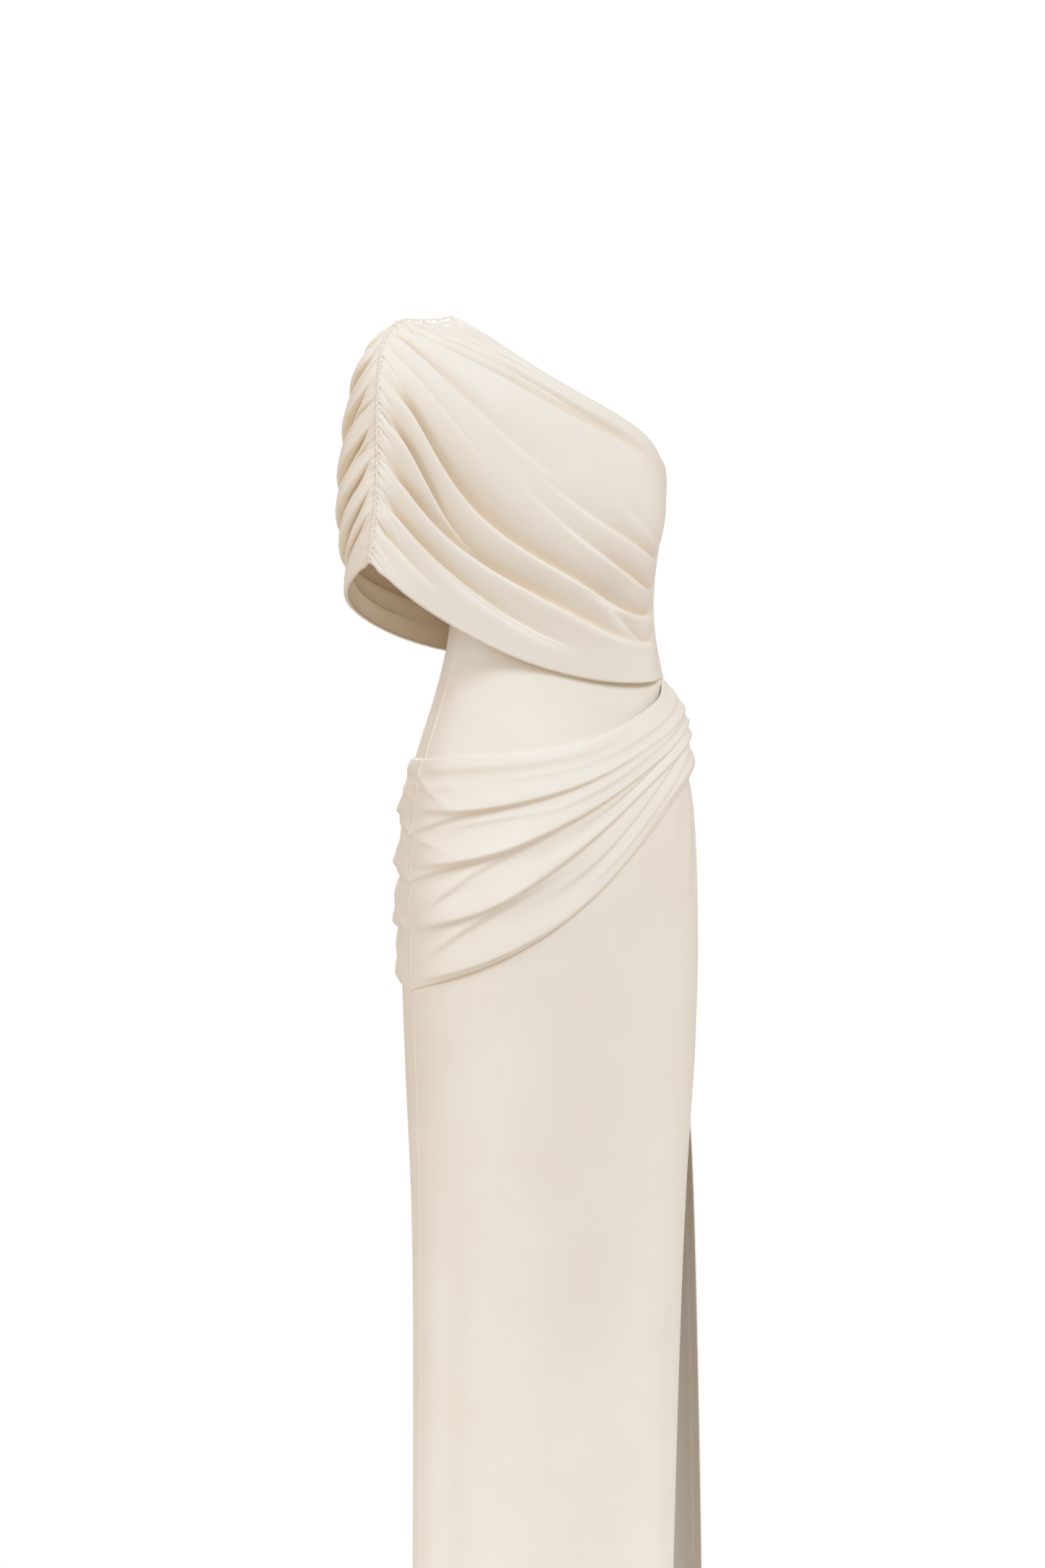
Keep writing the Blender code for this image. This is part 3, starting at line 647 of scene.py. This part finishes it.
BACK_FOLDS = (
    Fold(0.140, 0.190, 0.215, 0.190, 0.160, 0.120, 0.00, 0.12, 0.80, 0.0081, 0.0045, 0.0115),
    Fold(0.240, 0.300, 0.335, 0.330, 0.305, 0.280, 0.00, 0.14, 0.90, 0.0095, 0.0045, 0.0126),
    Fold(0.350, 0.420, 0.450, 0.440, 0.420, 0.400, 0.00, 0.12, 0.74, 0.0100, 0.0041, 0.0126),
    Fold(0.460, 0.540, 0.570, 0.560, 0.540, 0.520, 0.00, 0.12, 0.90, 0.0108, 0.0041, 0.0132),
    Fold(0.590, 0.670, 0.695, 0.675, 0.645, 0.620, 0.00, 0.08, 0.84, 0.0111, 0.0038, 0.0132),
    Fold(0.690, 0.785, 0.810, 0.785, 0.750, 0.720, 0.00, 0.08, 0.92, 0.0119, 0.0038, 0.0132),
    Fold(0.775, 0.880, 0.900, 0.870, 0.845, 0.820, 0.00, 0.07, 0.80, 0.0105, 0.0038, 0.0121),
    Fold(0.860, 0.930, 0.950, 0.935, 0.920, 0.910, 0.00, 0.07, 0.60, 0.0081, 0.0038, 0.0098),
    Fold(0.300, 0.330, 0.350, 0.360, 0.360, 0.350, 0.00, 0.05, 0.18, 0.0035, 0.0032, 0.0057),
    Fold(0.525, 0.570, 0.600, 0.610, 0.610, 0.600, 0.00, 0.05, 0.20, 0.0041, 0.0032, 0.0063),
    Fold(0.640, 0.700, 0.730, 0.730, 0.730, 0.730, 0.00, 0.05, 0.16, 0.0038, 0.0032, 0.0057),
    Fold(0.200, 0.225, 0.240, 0.250, 0.240, 0.220, 0.05, 0.20, 0.50, 0.0026, 0.0050, 0.0070),
    Fold(0.300, 0.330, 0.380, 0.400, 0.420, 0.440, 0.40, 0.80, 1.10, 0.0040, 0.0045, 0.0070),
    Fold(0.500, 0.520, 0.560, 0.600, 0.620, 0.640, 0.50, 0.84, 1.10, 0.0040, 0.0045, 0.0070),
    Fold(0.700, 0.720, 0.760, 0.780, 0.780, 0.790, 0.55, 0.86, 1.10, 0.0036, 0.0040, 0.0060),
)

# %% Gathers into the left side seam
# Where each short valley meets the side seam, how far it has risen one tenth of the overlay before it,
# where it starts, its depth and its half width
CREASE_SOFT = 0.10  # a crease is round over this share of its half width
SLOW_DROP = 1.1  # how fast its slow side comes out again, and how evenly
SLOW_POWER = 1.35
STEEP_DROP = 0.8  # the same for its steep side, which also has a low rim
STEEP_POWER = 1.5
STEEP_RIM = 0.6
LIP_WIDTH = 2.4  # of the leaning lip, in narrow half widths
Gather = namedtuple("Gather", "side rise start depth half_width")
SIDE_GATHERS = (
    Gather(0.300, 0.010, 0.86, 0.0022, 0.0044),
    Gather(0.385, 0.014, 0.80, 0.0030, 0.0044),
    Gather(0.455, 0.018, 0.84, 0.0026, 0.0038),
    Gather(0.520, 0.020, 0.76, 0.0040, 0.0040),
    Gather(0.585, 0.022, 0.84, 0.0034, 0.0036),
    Gather(0.650, 0.016, 0.80, 0.0042, 0.0038),
    Gather(0.715, 0.012, 0.86, 0.0034, 0.0034),
    Gather(0.775, 0.006, 0.78, 0.0042, 0.0038),
    Gather(0.840, 0.004, 0.84, 0.0036, 0.0034),
    Gather(0.895, 0.004, 0.82, 0.0038, 0.0036),
    Gather(0.950, 0.000, 0.88, 0.0024, 0.0030),
)


def trough(off):
    """Depth across a soft fold, 1 in its middle."""
    return (1 - 0.5 * off**2) * np.exp(-0.7 * off**2)


def crease(to_lip):
    """Depth across a sharp fold, 1 at its line. It rises slowly on one side and to a lip on the other."""
    away = np.sqrt(to_lip**2 + CREASE_SOFT**2) - CREASE_SOFT
    slow = np.exp(-SLOW_DROP * away**SLOW_POWER)
    steep = (1 - STEEP_RIM * away**STEEP_POWER) * np.exp(-STEEP_DROP * away**STEEP_POWER)
    return np.where(to_lip < 0, slow, steep)


def fold_depth(folds, along, down):
    """How far the folds push the overlay in, and how far their lips lean over them."""
    depth = np.zeros_like(along)
    lean = np.zeros_like(along)
    length = LENGTH_AT_SEAM + (LENGTH_AT_SIDE - LENGTH_AT_SEAM) * along
    for fold in folds:
        off = (down - smooth_through(FOLD_AT, fold[:6], along)) * length
        off = off / np.where(off < 0, fold.above, fold.below)
        swell = ease(along, fold.start, fold.deepest) * (1 - ease(along, fold.deepest, fold.end))
        if fold.above == fold.below or fold.depth < 0:
            depth += fold.depth * swell * trough(off)
            continue
        up = 1 if fold.below < fold.above else -1
        to_lip = up * off
        depth += fold.depth * swell * crease(to_lip)
        lip = (1 - np.exp(-(to_lip**2))) * np.exp(-((to_lip / LIP_WIDTH) ** 2))
        lean += up * fold.depth * swell * np.where(to_lip > 0, lip, 0.0)
    for gather in SIDE_GATHERS:
        off = (down - gather.side + gather.rise * (1 - along) / 0.1) * length / gather.half_width
        depth += gather.depth * ease(along, gather.start, 1.0) * crease(off)
    return depth, lean


# %% [markdown]
# ## Fine gathers at the ruched seam
#
# Elastic thread draws the seam up, and the cloth breaks beside it into some ninety little creases a
# side, no two alike. Most are about a centimetre long, and every fifth runs on into the cloth as a
# small fold. They fall away from the seam, because the cloth hangs from it. Their places, lengths and depths
# come from random numbers with a fixed seed, which gives the same creases on every run.

# %% Ruching
PUCKERS = 92
PUCKER_REACH = 0.030  # mean length of a pucker, as a share of the overlay's length
PUCKER_DEPTH = 0.0022
PUCKER_WIDTH = 0.0016
LONG_ONE = 5  # one in so many is a long one
LONG_TIMES = 3  # and this many times as long
PUCKER_WIDENS = 12  # how many times its width a pucker would gain over the whole overlay
SEAM_SINKS = 0.0008  # the cloth dips this far where the stitches hold it


def ruching(row, along, fall, seed):
    """Height of the puckers beside the ruched seam, which fall away from it at a slope."""
    chance = np.random.default_rng(seed)
    height = -SEAM_SINKS * (1 - ease(along, 0.0, 0.010))
    for i in range(PUCKERS):
        at = (i + chance.uniform(0.2, 0.8)) / PUCKERS
        reach = PUCKER_REACH * chance.uniform(0.5, 1.5) * (LONG_TIMES if i % LONG_ONE == 0 else 1)
        depth = PUCKER_DEPTH * chance.uniform(0.45, 1.15)
        width = PUCKER_WIDTH * chance.uniform(0.7, 1.2) * (1 + PUCKER_WIDENS * along)
        slope = fall * chance.uniform(0.75, 1.25)
        off = (row - at - slope * along) * LENGTH_AT_SEAM / width
        height -= depth * np.exp(-np.abs(off) ** 1.4) * (1 - ease(along, 0.1 * reach, reach))
    return height


# %% [markdown]
# ## The overlay's two halves
#
# Everything meets here. The rows of the grid fall away from the ruched seam as the folds do, so that
# rows and folds run together and no fold is cut into steps. The columns are closer together at both
# seams, where the gathers are. Heights are added along the form's normals, the lean is added along its
# rows, and then the points that would touch the sheath are moved out to lie on it.

# %% Panels of the overlay
OVERLAY_ROWS = 420
FRONT_COLUMNS = 110
BACK_COLUMNS = 98
PUCKERS_FALL_FRONT = 0.40  # shares of the way down that the puckers fall for one of the way along
PUCKERS_FALL_BACK = 0.65
OVERLAY_PULL = 0.105
LIP_LEAN = 0.95  # how far a lip leans over its valley, as a share of the valley's depth
NECK_ROLL = 0.0042
NECK_STEPS = 9
HEM_ROLL = 0.0018
RUCHED_GAP = 0.0005


def overlay(name, lines, folds, columns, facing, lift, fall):
    """One half of the overlay, from the ruched seam to the left side seam, and its points."""
    stations = closer_at_ends(columns, OVERLAY_PULL)
    row, along = np.meshgrid(np.linspace(0, 1, OVERLAY_ROWS + 1), stations, indexing="ij")
    length = LENGTH_AT_SEAM + (LENGTH_AT_SIDE - LENGTH_AT_SEAM) * along
    fallen = row + ROW_FALL * np.sin(math.pi * row) * ease(along, 0.0, ROW_FALL_ENDS)
    depth, lean = fold_depth(folds, along, fallen)
    between_rolls = (length - NECK_ROLL - HEM_ROLL) / length
    level = NECK_ROLL / length + fallen * between_rolls
    normal = outward(overlay_form(lines, stations, level), facing)
    form = overlay_form(lines, stations, level - LIP_LEAN * lean / length)
    points = form + normal * (ruching(row, along, fall, seed=columns) - depth)[..., None]
    points = clear_of_gown(points, lift)
    first = points[:, 1] - points[:, 0]
    points[:, 0] += RUCHED_GAP * first / np.linalg.norm(first, axis=-1, keepdims=True)
    points[:, -1, 1] = facing * SEAM_GAP
    points = rolled_under(points, facing, NECK_ROLL, NECK_STEPS)
    points = rolled_hem(points, facing, HEM_ROLL)
    print(name, "worn area", round(worn_area(points), 3), "square metres")
    return cloth_piece(name + "_cloth", points, name), points


drape_front, front_points = overlay(
    "drape_front", FRONT_LINES, FRONT_FOLDS, FRONT_COLUMNS, FRONT, OVER_GOWN, PUCKERS_FALL_FRONT
)
drape_back, back_points = overlay(
    "drape_back", BACK_LINES, BACK_FOLDS, BACK_COLUMNS, BACK, OVER_GOWN + LOOSE_BACK, PUCKERS_FALL_BACK
)

# %% [markdown]
# ## The ruched seam
#
# Between the two rows of gathers the seam itself shows as a narrow welt, a little thicker where each
# stitch lets the cloth swell. A Blender curve with a round bevel is the natural tool for a long thin
# thing, and each of its points can have a radius of its own.

# %% Seam welt
WELT_RADIUS = 0.0012
WELT_STANDS = 0.0009
STITCH = 0.0032  # from one stitch to the next
POINTS_A_STITCH = 4
WELT_PASSES = 12  # how often the directions it stands out in are averaged


def seam_welt(name, left_edge, right_edge, out):
    """A stitched welt down the middle between two edges, standing out along the given vectors."""
    middle = (left_edge + right_edge) / 2 + WELT_STANDS * out
    lengths = np.linalg.norm(np.diff(middle, axis=0, prepend=middle[:1]), axis=-1).cumsum()
    count = int(lengths[-1] / STITCH * POINTS_A_STITCH)
    at = np.linspace(0, lengths[-1], count)
    route = np.stack([np.interp(at, lengths, middle[:, axis]) for axis in range(3)], axis=-1)
    curve = bpy.data.curves.new(name, "CURVE")
    curve.dimensions = "3D"
    curve.bevel_depth = WELT_RADIUS
    curve.bevel_resolution = 2
    curve.use_fill_caps = True
    spline = curve.splines.new("POLY")
    spline.points.add(count - 1)
    for i, point in enumerate(route - SHOULDER):
        spline.points[i].co = (*point, 1.0)
        spline.points[i].radius = 0.86 + 0.20 * abs(math.sin(math.pi * at[i] / STITCH))
    curve.materials.append(JERSEY)
    welt = bpy.data.objects.new(name, curve)
    bpy.context.scene.collection.objects.link(welt)
    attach(welt, "root")
    print(name, "length", round(float(lengths[-1]), 3), "m,", count, "points")
    return welt


rolled = slice(NECK_STEPS, -ROLL_STEPS)  # the rows between the rolled edges
seam_out = outward(front_points, FRONT)[rolled, 2] + outward(back_points, BACK)[rolled, 2]
seam_out = softened(seam_out / np.linalg.norm(seam_out, axis=-1, keepdims=True), WELT_PASSES)
welt = seam_welt("ruched_seam_welt", front_points[rolled, 0], back_points[rolled, 0], seam_out)

# %% [markdown]
# ## What each piece was cut to
#
# The sheath and the hip drape are cut a little smaller than they are worn, because jersey stretches over
# the body. The overlay is cut much longer down its ruched seam than it is worn, and the gathers take up
# the difference.

# %% [markdown]
# ## Camera, light and floor
#
# The photograph was taken from far off, level with the hips, and thirty degrees to the wearer's right.
# The light is a studio's. The two strongest soft boxes are high in front, a little to the wearer's
# left, and high behind. Weaker ones in front and at both sides fill the shade, as the white
# surroundings do. The floor is a small pale disc under the hem.

# %% Camera
PHOTO_WIDTH = 1445
PHOTO_HEIGHT = 2168
PIXELS_PER_METRE = 1320  # at the torso's axis
CAMERA_DISTANCE = 5.5
CAMERA_TURN = math.radians(-30)
AXIS_IN_PHOTO = 762  # the pixel column of the torso's axis
SHOULDER_IN_PHOTO = 445  # and the pixel row of the shoulder's height, seen level
SENSOR = 36.0


def photo_camera():
    """The camera that frames the dress as the photograph does."""
    right = np.array([math.cos(CAMERA_TURN), math.sin(CAMERA_TURN), 0.0])
    forward = np.array([-math.sin(CAMERA_TURN), math.cos(CAMERA_TURN), 0.0])
    aim = -SHOULDER + right * (PHOTO_WIDTH / 2 - AXIS_IN_PHOTO) / PIXELS_PER_METRE
    aim[2] = (SHOULDER_IN_PHOTO - PHOTO_HEIGHT / 2) / PIXELS_PER_METRE
    data = bpy.data.cameras.new("photo_camera")
    data.sensor_fit = "VERTICAL"
    data.sensor_height = SENSOR
    data.lens = SENSOR * CAMERA_DISTANCE * PIXELS_PER_METRE / PHOTO_HEIGHT
    camera = bpy.data.objects.new("photo_camera", data)
    camera.location = aim - CAMERA_DISTANCE * forward
    camera.rotation_euler = (math.radians(90), 0.0, CAMERA_TURN)
    bpy.context.scene.collection.objects.link(camera)
    bpy.context.scene.camera = camera
    print("camera at", [round(value, 3) for value in camera.location], "lens", round(data.lens, 1), "mm")
    return camera


photo_camera()

# %% Light
def soft_box(name, azimuth, elevation, distance, size, watts, colour):
    """A square area light that looks at the middle of the dress."""
    a, e = math.radians(azimuth), math.radians(elevation)
    target = -SHOULDER + np.array([0.0, 0.0, -0.6])
    away = np.array([math.sin(a) * math.cos(e), -math.cos(a) * math.cos(e), math.sin(e)])
    data = bpy.data.lights.new(name, "AREA")
    data.shape = "SQUARE"
    data.size = size
    data.energy = watts
    data.color = linear(colour)[:3]
    light = bpy.data.objects.new(name, data)
    light.location = target + distance * away
    light.rotation_euler = (math.pi / 2 - e, 0.0, a)
    bpy.context.scene.collection.objects.link(light)
    return light


soft_box("key_soft_box", 8, 42, 7.0, 3.0, 355, "#C6E0FF")
soft_box("front_soft_box", -30, 8, 5.0, 2.4, 34, "#CEE4FF")
soft_box("side_soft_box", 80, 0, 4.5, 1.8, 30, "#E2EFFF")
soft_box("fill_soft_box", -95, 20, 4.5, 2.4, 90, "#D4E8FF")
soft_box("rear_soft_box", 160, 35, 7.0, 3.2, 330, "#CCE3FF")

# %% White surroundings
# The camera sees pure white, and the cloth gets a softer share of it, so that its folds keep their shade.
SURROUND_SEEN = 1.0
SURROUND_LIGHT = 0.40
world = bpy.data.worlds.new("white_studio")
bpy.context.scene.world = world
world.use_nodes = True
tree = world.node_tree
tree.nodes.clear()
path = add_node(tree, "ShaderNodeLightPath")
seen = add_node(tree, "ShaderNodeBackground", {"Color": linear("#FFFFFF"), "Strength": SURROUND_SEEN})
lit = add_node(tree, "ShaderNodeBackground", {"Color": linear("#FFE2C4"), "Strength": SURROUND_LIGHT})
both = add_node(
    tree,
    "ShaderNodeMixShader",
    links={0: path.outputs["Is Camera Ray"], 1: lit.outputs["Background"], 2: seen.outputs["Background"]},
)
add_node(tree, "ShaderNodeOutputWorld", links={"Surface": both.outputs["Shader"]})
bpy.context.scene.view_settings.view_transform = "Standard"

# %% Floor
FLOOR_RADIUS = 1.1
FLOOR_GAP = 0.004  # the hem hangs this far clear of it


def studio_floor():
    """A pale painted disc, which isn't part of the dress."""
    material = bpy.data.materials.new("pale_studio_paint")
    material.use_nodes = True
    shader = material.node_tree.nodes["Principled BSDF"]
    shader.inputs["Base Color"].default_value = linear("#F2F1EF")
    shader.inputs["Roughness"].default_value = 0.8
    bm = bmesh.new()
    bmesh.ops.create_circle(bm, cap_ends=True, segments=96, radius=FLOOR_RADIUS)
    mesh = bpy.data.meshes.new("studio_floor")
    bm.to_mesh(mesh)
    bm.free()
    mesh.materials.append(material)
    floor = bpy.data.objects.new("studio_floor", mesh)
    floor.location = (*(-SHOULDER[:2]), GOWN_HEM - FLOOR_GAP)
    bpy.context.scene.collection.objects.link(floor)
    return floor


studio_floor()
